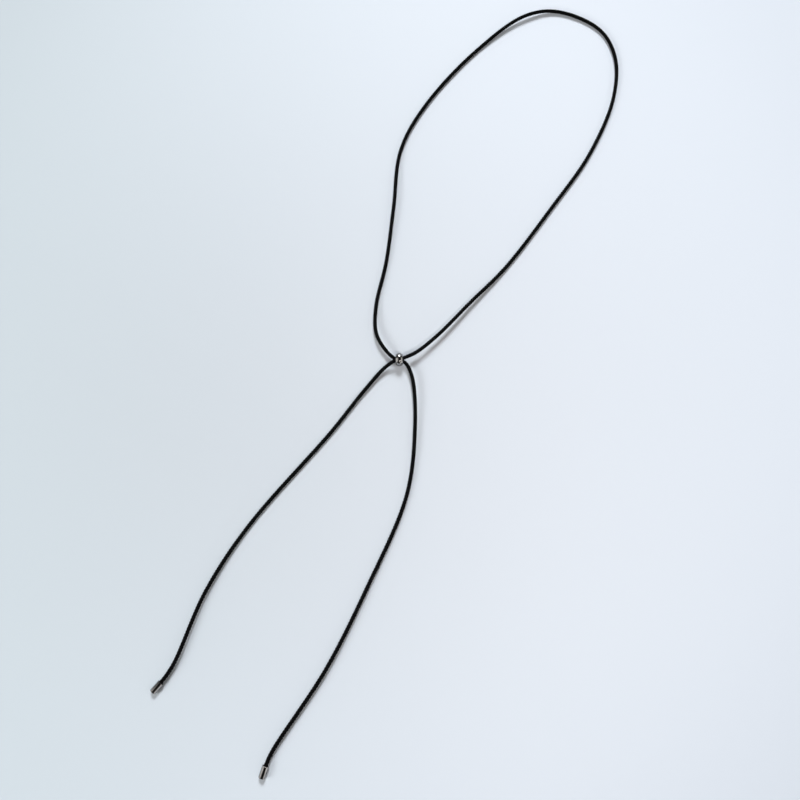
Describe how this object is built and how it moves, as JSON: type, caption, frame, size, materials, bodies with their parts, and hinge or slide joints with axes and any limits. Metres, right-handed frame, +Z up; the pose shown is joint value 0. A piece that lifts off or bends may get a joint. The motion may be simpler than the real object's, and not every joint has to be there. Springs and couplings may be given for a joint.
{
  "type": "slider cord necklace",
  "caption": "Black braided cord necklace lying open: a long neck loop whose ends cross through a steel slider bead and hang on as tails with tube end caps.",
  "frame": {"origin": "on the table, under the middle of the slider bead", "axes": "+X along the bead's hole, +Y from the bead towards the neck loop, +Z up from the table"},
  "size_m": [0.3146, 0.5315, 0.0088],
  "materials": {
    "cord": "black braided cord with a faint waxed sheen",
    "steel": "polished, rather dark steel"
  },
  "bodies": {
    "root": {"cord": "cord", "slider_bead": "steel", "end_cap_left": "steel", "end_cap_right": "steel"}
  },
  "joints": []
}
